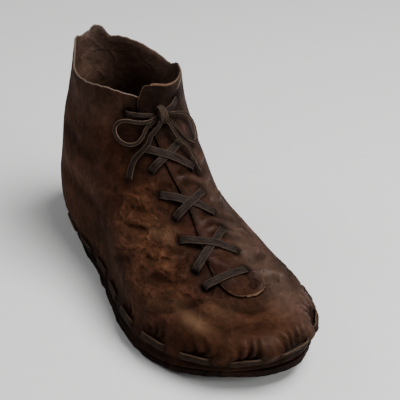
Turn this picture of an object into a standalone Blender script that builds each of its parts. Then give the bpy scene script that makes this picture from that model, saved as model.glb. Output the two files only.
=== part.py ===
"""Right hide ankle shoe, made by hand: a one-piece upper with a lapped flap, a flat sole sewn on with a thong,
and a lace that is tied in a bow over the instep.

Frame: metres, +Z up, toe towards -Y, inner side of the foot towards +X. The origin is on the floor under the
middle of the shoe. Sizes below are millimetres, angles degrees, and the meshes are scaled to metres as made.
"""
import math

import bmesh
import bpy
import numpy as np

# Driving dimensions
LENGTH = 280.0
BALL_WIDTH = 116.0
COLLAR_HEIGHT = 145.0
WALL = 2.2
FLAP_THICK = 1.8
SOLE_THICK = 4.7
SOLE_MARGIN = 0.8
GAP = 0.3
AXIS_X = 7.9

THONG_WIDE = 5.0
THONG_THICK = 1.6
STITCH_COUNT = 20
STITCH_LONG = 19.0
LACE_WIDE = 5.4
TOP_OUTER_WIDE = 3.0
TOP_INNER_WIDE = 4.4
LACE_THICK = 1.4
LACE_CLEAR = 0.5
LACE_RISE_AHEAD = 13.0
LACE_RISE_RUN = 7.0
CROSS_LIFT = 1.2
CROSS_SPREAD = 0.32
SLIT_LONG = 3.6
SLIT_WIDE = 2.0
CORD_RADIUS = 1.35
KNOT_SIZE = (8.0, 8.0, 10.5)
KNOT_CLEAR = 0.4

# Where along each ring its widths are given, as a share from its toe end to its heel end
BALL_AT = 0.30
WAIST_AT = 0.58
HEEL_AT = 0.85
TOE_FULLNESS_IN = 1.12
TOE_FULLNESS_OUT = 1.20
HEEL_FULLNESS = 1.06

# Rings of the upper from the sole to the collar. y in percent of LENGTH, heights in percent of COLLAR_HEIGHT,
# half widths to the inner and outer side in percent of BALL_WIDTH. The edge takes its heights from the sole.
RING_COLUMNS = ("toe_y", "toe_z", "mid_z", "heel_y", "heel_z",
                "ball_in", "ball_out", "waist_in", "waist_out", "heel_half")
RINGS = {
    "edge":   (-48.0, None, None, 48.5, None, 43.0, 57.0, 33.0, 43.0, 29.0),
    "thong":  (-49.0, 17.0,  9.0, 49.0,  9.0, 43.5, 57.0, 34.5, 42.0, 31.5),
    "bulge":  (-50.0, 21.5, 16.5, 50.0, 18.5, 41.5, 54.5, 36.5, 41.0, 33.5),
    "toebox": (-46.0, 26.0, 27.5, 50.0, 29.0, 35.5, 52.5, 36.5, 39.0, 33.5),
    "vamp":   (-33.0, 27.0, 38.5, 48.5, 39.5, 30.0, 45.0, 35.5, 38.0, 32.0),
    "instep": (-16.5, 40.0, 50.0, 46.5, 51.5, 27.5, 37.5, 33.5, 36.0, 29.5),
    "throat": (-3.5, 58.0, 63.5, 44.5, 66.5, 30.0, 33.0, 33.0, 34.0, 26.5),
    "ankle":  (6.0, 78.0, 78.0, 43.0, 82.5, 30.5, 31.5, 33.0, 31.0, 21.5),
    "collar": (9.5, 97.0, 90.5, 43.0, 101.5, 31.5, 29.5, 34.0, 28.5, 16.5),
}
RING_NAMES = list(RINGS)
V_COLLAR = RING_NAMES.index("collar")

# Underside of the sole from toe to heel: share of the length, lift off the floor
SOLE_PROFILE = ((0.00, 10.5), (0.25, 0.0), (0.46, 0.0), (0.60, 1.2), (0.72, 0.0), (0.96, 0.0), (1.00, 0.8))

# The hand-cut collar: angle round the ring from the toe, inner side positive, and rise above the collar ring
COLLAR_WAVE = (
    (-180, -3.0), (-166, -4.0), (-146, 1.0), (-120, 6.0), (-92, 8.0), (-68, 5.0), (-44, 1.5), (-29, -3.0),
    (-20, -6.3), (-10, -0.6), (14, -4.5), (30, -4.7), (50, -2.5), (64, 2.0), (92, -6.0), (120, 1.0),
    (138, -2.5), (151, -5.5), (160, 0.0), (172, 0.5), (180, -3.0),
)

# The flap: ring level, angle of its free edge, angle where it sinks into the inner side, and its height there
FLAP_COLUMNS = ("level", "free_edge", "inner_edge", "inner_lift")
FLAP = (
    (3.96, -0.5, 2.0, FLAP_THICK),
    (3.995, -5.8, 12.0, FLAP_THICK),
    (4.09, -10.2, 22.5, FLAP_THICK),
    (4.29, -13.0, 31.5, 0.7),
    (4.45, -13.6, 35.0, -0.2),
    (4.70, -12.4, 37.0, -1.0),
    (5.00, -10.0, 38.0, -1.0),
    (5.50, -7.0, 40.0, -1.0),
    (6.25, -9.0, 40.0, -1.0),
    (7.00, -11.0, 42.0, -1.0),
    (7.45, -18.0, 44.0, -1.0),
    (7.70, -17.0, 45.0, -1.0),
    (7.92, -10.0, 46.0, -1.0),
)
FLAP_ROOT = -1.3
FLAP_BELOW_COLLAR = 0.04

# Lace crossings up the instep: ring levels of the four holes, and which strand lies on top
CROSSING_COLUMNS = ("name", "outer_low", "outer_high", "inner_low", "inner_high", "rising_outer_on_top")
CROSSINGS = (
    ("lace_cross_1", 4.52, 5.00, 4.66, 5.02, False),
    ("lace_cross_2", 5.40, 5.78, 5.32, 5.72, True),
    ("lace_cross_3", 6.22, 6.62, 6.12, 6.62, False),
)
OUTER_HOLE = -22.0
INNER_HOLE = 13.5
BAR_LEVELS = (4.24, 4.38)
BAR_INNER = 10.0
TOP_OUTER = (-27.5, 7.39)
TOP_INNER = (21.0, 7.42)
KNOT_AT = (-2.0, 7.25)
TOP_STRAND_END = 8.0

# Routes of the bow's loops and ends: angle, ring level, height over the upper
BOW_ROUTES = {
    "lace_loop_outer": (
        (-13, 7.14, 5.6), (-21, 7.16, 5.0), (-29, 7.22, 4.6), (-35, 7.18, 4.4), (-39, 7.05, 4.4), (-40, 6.89, 4.4),
        (-38, 6.75, 4.4), (-32, 6.68, 4.4), (-25, 6.72, 4.2), (-20, 6.83, 4.2), (-15, 7.00, 4.4)),
    "lace_loop_inner": (
        (9, 7.20, 5.6), (16, 7.14, 5.0), (24, 7.04, 4.4), (31, 6.91, 4.0), (35, 6.73, 3.8), (34, 6.58, 3.8),
        (30, 6.48, 4.0), (24, 6.46, 4.4), (17, 6.57, 4.8), (12, 6.75, 5.0), (7, 6.96, 5.2)),
    "lace_end_outer": (
        (-7, 7.00, 9.6), (-11, 6.90, 9.2), (-15, 6.80, 8.6), (-18, 6.68, 7.8), (-24, 6.55, 6.6), (-31, 6.41, 5.2),
        (-37, 6.21, 4.2), (-42, 5.98, 3.4)),
    "lace_end_inner": (
        (1, 6.98, 8.6), (3, 6.83, 8.0), (5, 6.68, 7.4), (9, 6.55, 6.6), (13, 6.41, 5.8), (15, 6.24, 5.0),
        (17, 6.08, 4.4), (18, 5.97, 4.0)),
}

# Level of the sewn line of the sole thong round the foot: it rises over the inner side of the toe
THONG_RISE = (
    (-180, 1.0), (-110, 1.05), (-73, 1.2), (-56, 1.0), (-40, 0.88), (-19, 0.98), (-2, 1.5), (14, 1.85),
    (26, 1.9), (45, 1.6), (70, 1.2), (110, 1.0), (180, 1.0),
)

# Mesh density
AROUND = 84
UPPER_LEVELS = (0.0, 0.05, 0.12, 0.19, 0.26, 0.32, 0.38, 0.44, 0.50, 0.56, 0.62, 0.68, 0.75, 0.82, 0.89, 0.95,
                1.0)
FLAP_ACROSS = 10
FLAP_ROWS = 22
SOLE_STATIONS = 42
SOLE_ACROSS = 8
MM = 0.001


def smooth_through(xs, ys, x):
    """Value at x of a smooth curve through the rows (xs, ys), with slopes from the neighbouring rows."""
    xs = np.asarray(xs, float)
    ys = np.asarray(ys, float)
    x = np.asarray(x, float)
    slope = np.gradient(ys, xs, axis=0)
    k = np.clip(np.searchsorted(xs, x) - 1, 0, len(xs) - 2)
    width = xs[k + 1] - xs[k]
    t = (x - xs[k]) / width
    if ys.ndim > 1:
        t = t[..., None]
        width = width[..., None]
    return ((2 * t**3 - 3 * t**2 + 1) * ys[k] + (t**3 - 2 * t**2 + t) * width * slope[k]
            + (3 * t**2 - 2 * t**3) * ys[k + 1] + (t**3 - t**2) * width * slope[k + 1])


def ease(t):
    t = np.clip(t, 0.0, 1.0)
    return t * t * (3.0 - 2.0 * t)


def sole_lift(share):
    """Height of the sole's underside over the floor, flat between rows of equal height."""
    share = np.asarray(share, float)
    at = [row[0] for row in SOLE_PROFILE]
    lift = np.array([row[1] for row in SOLE_PROFILE])
    k = np.clip(np.searchsorted(at, share) - 1, 0, len(at) - 2)
    starts = np.array(at)
    return lift[k] + (lift[k + 1] - lift[k]) * ease((share - starts[k]) / (starts[k + 1] - starts[k]))


def ring_point(name, angle):
    """Points of one ring: angle 0 at the toe, rising towards the inner side."""
    row = dict(zip(RING_COLUMNS, RINGS[name]))
    theta = np.radians(angle)
    share = (1.0 - np.cos(theta)) / 2.0
    inner = np.sin(theta) >= 0.0
    stations = (0.0, BALL_AT, WAIST_AT, HEEL_AT, 1.0)
    sides = []
    for ball, waist, toe in (("ball_in", "waist_in", TOE_FULLNESS_IN),
                             ("ball_out", "waist_out", TOE_FULLNESS_OUT)):
        widths = np.array((row[ball], row[waist], row["heel_half"])) * BALL_WIDTH / 100.0
        full = widths / (2.0 * np.sqrt(np.array(stations[1:4]) * (1.0 - np.array(stations[1:4]))))
        full = np.concatenate(([full[0] * toe], full, [full[2] * HEEL_FULLNESS]))
        sides.append(smooth_through(stations, full, share))
    half = np.where(inner, sides[0], sides[1])
    x = AXIS_X + half * np.sin(theta)
    y = (row["toe_y"] + (row["heel_y"] - row["toe_y"]) * share) * LENGTH / 100.0
    if name == "edge":
        z = sole_lift(share) + SOLE_THICK + GAP
    else:
        heights = np.array((row["toe_z"], row["mid_z"], row["heel_z"])) * COLLAR_HEIGHT / 100.0
        z = smooth_through((0.0, 0.5, 1.0), heights, share)
    return np.stack([x, y, z], axis=-1)


def surface(angle, level):
    """Outside of the upper at an angle round the foot and a level counted in rings from the sole."""
    angle, level = np.broadcast_arrays(np.asarray(angle, float), np.asarray(level, float))
    rings = np.stack([ring_point(name, angle) for name in RING_NAMES])
    slopes = np.gradient(rings, axis=0)
    k = np.clip(np.floor(level).astype(int), 0, len(RING_NAMES) - 2)
    t = np.minimum(level, V_COLLAR) - k
    t = t[..., None]

    def at(table, index):
        return np.take_along_axis(table, index[None, ..., None], axis=0)[0]

    point = ((2 * t**3 - 3 * t**2 + 1) * at(rings, k) + (t**3 - 2 * t**2 + t) * at(slopes, k)
             + (3 * t**2 - 2 * t**3) * at(rings, k + 1) + (t**3 - t**2) * at(slopes, k + 1))
    beyond = np.maximum(level - V_COLLAR, 0.0)[..., None]
    return point + beyond * slopes[-1]


def normal(angle, level):
    """Outward direction of the upper's outside."""
    angle, level = np.broadcast_arrays(np.asarray(angle, float), np.asarray(level, float))
    low = np.maximum(level - 0.05, 0.0)
    across = surface(angle + 0.5, level) - surface(angle - 0.5, level)
    up = surface(angle, level + 0.05) - surface(angle, low)
    out = np.cross(across, up)
    return out / np.linalg.norm(out, axis=-1, keepdims=True)


def over(angle, level, height):
    return surface(angle, level) + normal(angle, level) * np.asarray(height, float)[..., None]


def collar_level(angle):
    """Level of the hand-cut collar edge."""
    wrapped = (np.asarray(angle, float) + 180.0) % 360.0 - 180.0
    rise = smooth_through([row[0] for row in COLLAR_WAVE], [row[1] for row in COLLAR_WAVE], wrapped)
    ring_step = (RINGS["collar"][1] - RINGS["ankle"][1]) * COLLAR_HEIGHT / 100.0
    return V_COLLAR + rise / ring_step


def thong_level(angle):
    wrapped = (np.asarray(angle, float) + 180.0) % 360.0 - 180.0
    return smooth_through([row[0] for row in THONG_RISE], [row[1] for row in THONG_RISE], wrapped)


def flap_row(level):
    levels = [row[0] for row in FLAP]
    return {name: smooth_through(levels, [row[i] for row in FLAP], level)
            for i, name in enumerate(FLAP_COLUMNS) if i}


def flap_height(angle, level):
    """How far the flap stands over the upper's own wall, from its free edge to where it sinks in."""
    row = flap_row(level)
    across = (angle - row["free_edge"]) / (row["inner_edge"] - row["free_edge"])
    return FLAP_THICK + (row["inner_lift"] - FLAP_THICK) * ease(across)


def make_object(name, points, faces, material):
    mesh = bpy.data.meshes.new(name)
    mesh.from_pydata([tuple(float(c) * MM for c in p) for p in points], [], faces)
    tidy = bmesh.new()
    tidy.from_mesh(mesh)
    bmesh.ops.remove_doubles(tidy, verts=tidy.verts, dist=0.00002)
    bmesh.ops.dissolve_degenerate(tidy, edges=tidy.edges, dist=0.00001)
    bmesh.ops.recalc_face_normals(tidy, faces=tidy.faces)
    tidy.to_mesh(mesh)
    tidy.free()
    mesh.shade_smooth()
    mesh.set_sharp_from_angle(angle=math.radians(40))
    if material:
        mesh.materials.append(material)
    obj = bpy.data.objects.new(name, mesh)
    bpy.context.collection.objects.link(obj)
    return obj


def make_material(name, colour, roughness):
    material = bpy.data.materials.new(name)
    material.use_nodes = True
    shader = material.node_tree.nodes["Principled BSDF"]
    shader.inputs["Base Color"].default_value = (*colour, 1.0)
    shader.inputs["Roughness"].default_value = roughness
    shader.inputs["Metallic"].default_value = 0.0
    return material


def sheet_faces(rows, columns, start=0, wrap=False):
    """Quads of a grid of points stored row by row."""
    last = columns if wrap else columns - 1
    return [(start + r * columns + c, start + r * columns + (c + 1) % columns,
             start + (r + 1) * columns + (c + 1) % columns, start + (r + 1) * columns + c)
            for r in range(rows - 1) for c in range(last)]


def closed_slab(name, top, bottom, material):
    """Solid between two grids of points of one size."""
    rows, columns = top.shape[:2]
    count = rows * columns
    points = np.concatenate([top.reshape(-1, 3), bottom.reshape(-1, 3)])
    faces = sheet_faces(rows, columns) + [face[::-1] for face in sheet_faces(rows, columns, count)]
    rim = [c for c in range(columns)]
    rim += [r * columns + columns - 1 for r in range(1, rows)]
    rim += [(rows - 1) * columns + c for c in range(columns - 2, -1, -1)]
    rim += [r * columns for r in range(rows - 2, 0, -1)]
    for a, b in zip(rim, rim[1:] + rim[:1]):
        faces.append((a, a + count, b + count, b))
    return make_object(name, points, faces, material)


def hide(obj):
    obj.hide_render = True
    obj.display_type = "WIRE"


def add_boolean(obj, other, operation):
    modifier = obj.modifiers.new(operation.title(), "BOOLEAN")
    modifier.object = other
    modifier.operation = operation
    modifier.solver = "EXACT"
    hide(other)


def make_flap():
    """Patch that stands proud of the upper at its free edge and sinks into it on the inner side."""
    share = np.linspace(0.0, 1.0, FLAP_ROWS)
    first, last = FLAP[0][0], FLAP[-1][0]
    levels = first + (last - first) * share**1.6
    across = np.linspace(0.0, 1.0, FLAP_ACROSS)
    top, bottom = [], []
    for level in levels:
        row = flap_row(level)
        angle = row["free_edge"] + (row["inner_edge"] - row["free_edge"]) * across
        top_level = np.minimum(level, collar_level(angle) - FLAP_BELOW_COLLAR)
        top.append(over(angle, top_level, flap_height(angle, level)))
        bottom.append(over(angle, top_level, np.full_like(angle, FLAP_ROOT)))
    return closed_slab("flap_patch", np.array(top), np.array(bottom), None)


def make_slits():
    """One cutter with a block through the wall at each lace hole."""
    places = [(OUTER_HOLE, BAR_LEVELS[0]), (BAR_INNER, BAR_LEVELS[1]), TOP_OUTER, TOP_INNER]
    for row in CROSSINGS:
        crossing = dict(zip(CROSSING_COLUMNS, row))
        places += [(OUTER_HOLE, crossing["outer_low"]), (OUTER_HOLE, crossing["outer_high"])]
        places += [(INNER_HOLE, crossing["inner_low"]), (INNER_HOLE, crossing["inner_high"])]
    points, faces = [], []
    for angle, level in places:
        centre = surface(angle, level)
        out = normal(angle, level)
        along = surface(angle, level + 0.02) - surface(angle, level - 0.02)
        along = along / np.linalg.norm(along)
        side = np.cross(along, out)
        start = len(points)
        for height in (-2.0 * WALL, 2.0 * WALL):
            for a, b in ((-1, -1), (1, -1), (1, 1), (-1, 1)):
                corner = along * (a * SLIT_LONG / 2) + side * (b * SLIT_WIDE / 2)
                points.append(centre + out * height + corner)
        sides = ((3, 2, 1, 0), (4, 5, 6, 7), (0, 1, 5, 4), (1, 2, 6, 5), (2, 3, 7, 6), (3, 0, 4, 7))
        faces += [tuple(start + i for i in face) for face in sides]
    return make_object("lace_slits", points, faces, None)


def make_upper(material):
    """Hollow wall, open at the collar and underneath, with the flap as a step in it."""
    angle = np.linspace(-180.0, 180.0, AROUND, endpoint=False)
    top = collar_level(angle)
    outer, inner = [], []
    for share in UPPER_LEVELS:
        level = share * top
        outer.append(surface(angle, level))
        inner.append(over(angle, level, np.full_like(angle, -WALL)))
    inner[0][:, 2] = outer[0][:, 2]
    inner[1][:, 2] = np.maximum(inner[1][:, 2], inner[0][:, 2] + 1.0)
    rows = len(UPPER_LEVELS)
    count = rows * AROUND
    points = np.concatenate([np.array(outer).reshape(-1, 3), np.array(inner).reshape(-1, 3)])
    faces = sheet_faces(rows, AROUND, 0, True)
    faces += [face[::-1] for face in sheet_faces(rows, AROUND, count, True)]
    for c in range(AROUND):
        d = (c + 1) % AROUND
        faces.append((c, c + count, d + count, d))
        high = (rows - 1) * AROUND
        faces.append((high + c, high + d, high + d + count, high + c + count))
    upper = make_object("upper", points, faces, material)
    add_boolean(upper, make_flap(), "UNION")
    add_boolean(upper, make_slits(), "DIFFERENCE")
    return upper


def make_sole(material):
    """Flat hide sole, with its outline a little outside the upper's lower edge."""
    theta = np.linspace(0.0, 180.0, SOLE_STATIONS)
    share = (1.0 - np.cos(np.radians(theta))) / 2.0
    inner = ring_point("edge", theta)
    outer = ring_point("edge", -theta)
    grow = SOLE_MARGIN * np.sin(np.radians(theta))
    reach = SOLE_MARGIN * -np.cos(np.radians(theta))
    top, bottom = [], []
    for t in np.linspace(0.0, 1.0, SOLE_ACROSS):
        x = (outer[:, 0] - grow) + (inner[:, 0] - outer[:, 0] + 2.0 * grow) * t
        y = inner[:, 1] + reach
        low = sole_lift(share)
        bottom.append(np.stack([x, y, low], axis=-1))
        top.append(np.stack([x, y, low + SOLE_THICK], axis=-1))
    return closed_slab("sole", np.array(top), np.array(bottom), material)


def strip_between(name, angles, levels, heights, wide, thick, material):
    """Flat strip over the upper along a run of angles and levels, heights measured to its underside."""
    middle = surface(angles, levels)
    out = normal(angles, levels)
    along = np.gradient(middle, axis=0)
    along = along / np.linalg.norm(along, axis=-1, keepdims=True)
    side = np.cross(along, out)
    low = middle + out * heights[:, None]
    top = np.stack([low + out * thick + side * (wide / 2 * k) for k in (-0.8, 0.8)])
    bottom = np.stack([low + side * (wide / 2 * k) for k in (-1.0, 1.0)])
    return closed_slab(name, top, bottom, material)


def make_stitches(material):
    """Long running stitches of the sole thong, evenly spaced round the foot, bent to the upper's wall."""
    fine = np.linspace(0.0, 360.0, 721)
    path = surface(fine, thong_level(fine))
    run = np.concatenate([[0.0], np.cumsum(np.linalg.norm(np.diff(path, axis=0), axis=1))])
    spacing = run[-1] / STITCH_COUNT
    share = np.linspace(-1.0, 1.0, 7)
    depth = THONG_THICK * (1.0 - 0.5 * share**6)
    for i in range(STITCH_COUNT):
        at = (i * spacing + share * STITCH_LONG / 2) % run[-1]
        angles = np.unwrap(np.interp(at, run, fine), period=360.0)
        levels = thong_level(angles)
        ring_step = np.linalg.norm(surface(angles, levels + 0.5) - surface(angles, levels - 0.5), axis=-1)
        half = THONG_WIDE / 2 / ring_step
        top = [over(angles, levels + half * k, GAP + depth) for k in (-0.8, 0.0, 0.8)]
        bottom = [over(angles, levels + half * k, np.full_like(angles, GAP)) for k in (-1.0, 0.0, 1.0)]
        closed_slab(f"sole_stitch_{i + 1:02d}", np.array(top), np.array(bottom), material)


def lace_height(angles, levels):
    """Underside of the lace: over the outer side, rising ahead of the flap's edge, then along the flap."""
    ahead = ease((angles - flap_row(levels)["free_edge"] + LACE_RISE_AHEAD) / LACE_RISE_RUN)
    return LACE_CLEAR + ahead * np.maximum(flap_height(angles, levels), 0.0)


def lace_strand(name, start, end, material, hump=0.0, wide=LACE_WIDE):
    t = np.linspace(0.0, 1.0, 11)
    angles = start[0] + (end[0] - start[0]) * t
    levels = start[1] + (end[1] - start[1]) * t
    heights = lace_height(angles, levels) + hump * ease(1.0 - np.abs(t - 0.5) / CROSS_SPREAD)
    return strip_between(name, angles, levels, heights, wide, LACE_THICK, material)


def beside_knot(centre, towards):
    """Point just off the knot's surface on the way to another point."""
    way = (towards - centre) / np.linalg.norm(towards - centre)
    reach = 0.5 / np.linalg.norm(way / np.array(KNOT_SIZE))
    return centre + way * (reach + GAP)


def make_lace(material):
    """Bar and crossings over the instep, the top strands, and the knot with its two loops and two ends."""
    lace_strand("lace_bar", (OUTER_HOLE, BAR_LEVELS[0]), (BAR_INNER, BAR_LEVELS[1]), material)
    for row in CROSSINGS:
        crossing = dict(zip(CROSSING_COLUMNS, row))
        name = crossing["name"]
        rising_hump = CROSS_LIFT if crossing["rising_outer_on_top"] else 0.0
        rising = lace_strand(name, (OUTER_HOLE, crossing["outer_low"]), (INNER_HOLE, crossing["inner_high"]),
                             material, rising_hump)
        falling = lace_strand(name + "_over", (OUTER_HOLE, crossing["outer_high"]),
                              (INNER_HOLE, crossing["inner_low"]), None, CROSS_LIFT - rising_hump)
        add_boolean(rising, falling, "UNION")
    knot_angle, knot_level = KNOT_AT
    for name, hole, end, wide in (("lace_top_outer", TOP_OUTER, -TOP_STRAND_END, TOP_OUTER_WIDE),
                                  ("lace_top_inner", TOP_INNER, TOP_STRAND_END, TOP_INNER_WIDE)):
        lace_strand(name, hole, (knot_angle + end, knot_level), material, wide=wide)

    bpy.ops.mesh.primitive_uv_sphere_add(segments=14, ring_count=8, radius=0.5 * MM)
    knot = bpy.context.object
    knot.name = "lace_knot"
    knot.data.name = "lace_knot"
    knot.scale = KNOT_SIZE
    knot_height = FLAP_THICK + KNOT_CLEAR + KNOT_SIZE[1] / 2
    knot_centre = over(np.array(knot_angle), np.array(knot_level), np.array(knot_height))
    knot.location = tuple(knot_centre * MM)
    bpy.ops.object.transform_apply(location=True, rotation=False, scale=True)
    knot.data.shade_smooth()
    knot.data.materials.append(material)

    for name, route in BOW_ROUTES.items():
        rows = np.array(route, float)
        points = over(rows[:, 0], rows[:, 1], rows[:, 2])
        at_knot = [beside_knot(knot_centre, points[0])]
        back = [beside_knot(knot_centre, points[-1])] if "loop" in name else []
        points = np.array([*at_knot, *points, *back])
        run = np.concatenate([[0.0], np.cumsum(np.linalg.norm(np.diff(points, axis=0), axis=1))])
        count = max(6, int(run[-1] / (5.0 * CORD_RADIUS)) + 1)
        smooth = smooth_through(run, points, np.linspace(0.0, run[-1], count))
        curve = bpy.data.curves.new(name, "CURVE")
        curve.dimensions = "3D"
        curve.bevel_depth = CORD_RADIUS * MM
        curve.bevel_resolution = 2
        curve.use_fill_caps = True
        spline = curve.splines.new("POLY")
        spline.points.add(count - 1)
        for place, point in zip(spline.points, smooth):
            place.co = (*(float(c) * MM for c in point), 1.0)
        curve.materials.append(material)
        cord = bpy.data.objects.new(name, curve)
        bpy.context.collection.objects.link(cord)


for leftover in list(bpy.data.objects):
    bpy.data.objects.remove(leftover, do_unlink=True)

hide_brown = make_material("hide_brown", (0.085, 0.040, 0.022), 0.62)
sole_brown = make_material("sole_brown", (0.045, 0.022, 0.014), 0.75)
thong_dark = make_material("thong_dark", (0.030, 0.022, 0.018), 0.60)
lace_grey = make_material("lace_grey", (0.040, 0.030, 0.024), 0.62)

make_upper(hide_brown)
make_sole(sole_brown)
make_stitches(thong_dark)
make_lace(lace_grey)
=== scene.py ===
import math

import bpy
import numpy as np
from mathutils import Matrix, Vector, noise


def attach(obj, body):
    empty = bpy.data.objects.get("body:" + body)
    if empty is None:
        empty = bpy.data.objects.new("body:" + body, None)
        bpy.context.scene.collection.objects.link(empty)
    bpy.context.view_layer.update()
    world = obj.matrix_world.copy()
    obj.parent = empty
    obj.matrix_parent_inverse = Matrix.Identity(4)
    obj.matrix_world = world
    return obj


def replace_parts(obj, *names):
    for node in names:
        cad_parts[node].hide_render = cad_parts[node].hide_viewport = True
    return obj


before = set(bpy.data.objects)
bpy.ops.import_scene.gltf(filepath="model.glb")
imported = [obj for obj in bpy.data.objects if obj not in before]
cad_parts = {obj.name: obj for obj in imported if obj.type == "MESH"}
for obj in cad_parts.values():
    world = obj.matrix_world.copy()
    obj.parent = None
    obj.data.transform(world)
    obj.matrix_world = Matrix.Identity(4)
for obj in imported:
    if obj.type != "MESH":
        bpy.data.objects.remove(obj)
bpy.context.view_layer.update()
bpy.ops.object.select_all(action="DESELECT")


# The upper: one piece of soft brown hide, about 2 mm thick, drawn up round the foot and gathered on to the
# sole. It was cut and folded by hand, so the collar waves, the toe is puckered between the thong's stitches,
# and the vamp is creased where the foot bends. Millimetres here, and degrees round the foot from the toe.
MM = 0.001
shoe_long = 280.0
ball_wide = 116.0
collar_high = 145.0
shoe_axis = 7.9
sole_thick = 4.7
sole_gap = 0.3
hide_thick = 2.2
hide_thick_at_collar = 1.35
flap_thick = 1.8

# Each ring up the shoe: toe and heel places along it, heights at toe, middle and heel, and half widths
ring_columns = ("toe_y", "toe_z", "mid_z", "heel_y", "heel_z",
                "ball_in", "ball_out", "waist_in", "waist_out", "heel_half")
shoe_rings = {
    "edge":   (-48.0, None, None, 48.5, None, 43.0, 57.0, 33.0, 43.0, 29.0),
    "thong":  (-49.0, 17.0,  9.0, 49.0,  9.0, 43.5, 57.0, 34.5, 42.0, 31.5),
    "bulge":  (-50.0, 21.5, 16.5, 50.0, 18.5, 41.5, 54.5, 36.5, 41.0, 33.5),
    "toebox": (-46.0, 26.0, 27.5, 50.0, 29.0, 35.5, 52.5, 36.5, 39.0, 33.5),
    "vamp":   (-33.0, 27.0, 38.5, 48.5, 39.5, 30.0, 45.0, 35.5, 38.0, 32.0),
    "instep": (-16.5, 40.0, 50.0, 46.5, 51.5, 27.5, 37.5, 33.5, 36.0, 29.5),
    "throat": (-3.5, 58.0, 63.5, 44.5, 66.5, 30.0, 33.0, 33.0, 34.0, 26.5),
    "ankle":  (6.0, 78.0, 78.0, 43.0, 82.5, 30.5, 31.5, 33.0, 31.0, 21.5),
    "collar": (9.5, 97.0, 90.5, 43.0, 101.5, 31.5, 29.5, 34.0, 28.5, 16.5),
}
ring_names = list(shoe_rings)
top_ring = len(ring_names) - 1
ring_stations = (0.0, 0.30, 0.58, 0.85, 1.0)
toe_fullness = {"in": 1.12, "out": 1.20}
heel_fullness = 1.06
sole_profile = ((0.00, 10.5), (0.25, 0.0), (0.46, 0.0), (0.60, 1.2), (0.72, 0.0), (0.96, 0.0), (1.00, 0.8))
collar_wave = (
    (-180, -3.0), (-166, -4.0), (-146, 1.0), (-120, 6.0), (-92, 8.0), (-68, 5.0), (-44, 1.5), (-29, -3.0),
    (-20, -6.3), (-13, -8.5), (0, -10.5), (20, -10.5), (36, -7.0), (50, -2.5), (64, 2.0), (92, -6.0),
    (120, 1.0), (138, -2.5), (151, -5.5), (160, 0.0), (172, 0.5), (180, -3.0),
)


def smooth_step(t, start, end, start_slope, end_slope):
    """Smooth way from start to end at the share t, with the slopes that it has at both."""
    return ((2 * t**3 - 3 * t**2 + 1) * start + (t**3 - 2 * t**2 + t) * start_slope
            + (3 * t**2 - 2 * t**3) * end + (t**3 - t**2) * end_slope)


def smooth_through(xs, ys, x):
    """Value at x of a smooth curve through the rows (xs, ys)."""
    xs = np.asarray(xs, float)
    ys = np.asarray(ys, float)
    x = np.asarray(x, float)
    slope = np.gradient(ys, xs, axis=0)
    k = np.clip(np.searchsorted(xs, x) - 1, 0, len(xs) - 2)
    width = xs[k + 1] - xs[k]
    t = (x - xs[k]) / width
    if ys.ndim > 1:
        t = t[..., None]
        width = width[..., None]
    return smooth_step(t, ys[k], ys[k + 1], width * slope[k], width * slope[k + 1])


def row_curve(rows, x, column=1):
    """Smooth curve through one column of a table whose first column is the place along it."""
    return smooth_through([row[0] for row in rows], [row[column] for row in rows], x)


def wrap(angle):
    """The same angle between -180 and 180 degrees."""
    return (np.asarray(angle, float) + 180.0) % 360.0 - 180.0


def unit(ways):
    return ways / np.linalg.norm(ways, axis=-1, keepdims=True)


def run_along(points):
    """Distance along a line of points, at each of them."""
    return np.concatenate([[0.0], np.cumsum(np.linalg.norm(np.diff(points, axis=0), axis=1))])


def ease(t):
    t = np.clip(t, 0.0, 1.0)
    return t * t * (3.0 - 2.0 * t)


def bell(distance, width, power=2):
    return np.exp(-(np.asarray(distance) / width) ** power)


def sole_lift(share):
    """Height of the sole's underside over the floor, from toe to heel."""
    at, lift = np.array(sole_profile).T
    share = np.asarray(share, float)
    k = np.clip(np.searchsorted(at, share) - 1, 0, len(at) - 2)
    return lift[k] + (lift[k + 1] - lift[k]) * ease((share - at[k]) / (at[k + 1] - at[k]))


def ring_points(name, angle):
    """Points of one ring, angle 0 at the toe and rising towards the inner side of the foot."""
    row = dict(zip(ring_columns, shoe_rings[name]))
    theta = np.radians(angle)
    share = (1.0 - np.cos(theta)) / 2.0
    inside_stations = np.array(ring_stations[1:4])
    halves = {}
    for side, toe in toe_fullness.items():
        widths = np.array((row["ball_" + side], row["waist_" + side], row["heel_half"])) * ball_wide / 100.0
        full = widths / (2.0 * np.sqrt(inside_stations * (1.0 - inside_stations)))
        full = np.concatenate(([full[0] * toe], full, [full[2] * heel_fullness]))
        halves[side] = smooth_through(ring_stations, full, share)
    half = np.where(np.sin(theta) >= 0.0, halves["in"], halves["out"])
    x = shoe_axis + half * np.sin(theta)
    y = (row["toe_y"] + (row["heel_y"] - row["toe_y"]) * share) * shoe_long / 100.0
    if name == "edge":
        z = sole_lift(share) + sole_thick + sole_gap
    else:
        heights = np.array((row["toe_z"], row["mid_z"], row["heel_z"])) * collar_high / 100.0
        z = smooth_through((0.0, 0.5, 1.0), heights, share)
    return np.stack([x, y, z], axis=-1)


def shoe_surface(angle, level):
    """Outside of the upper at an angle round the foot and a level counted in rings from the sole."""
    angle, level = np.broadcast_arrays(np.asarray(angle, float), np.asarray(level, float))
    rings = np.stack([ring_points(name, angle) for name in ring_names])
    slopes = np.gradient(rings, axis=0)
    k = np.clip(np.floor(level).astype(int), 0, top_ring - 1)
    t = (np.minimum(level, top_ring) - k)[..., None]

    def at(table, index):
        return np.take_along_axis(table, index[None, ..., None], axis=0)[0]

    point = smooth_step(t, at(rings, k), at(rings, k + 1), at(slopes, k), at(slopes, k + 1))
    return point + np.maximum(level - top_ring, 0.0)[..., None] * slopes[-1]


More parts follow.
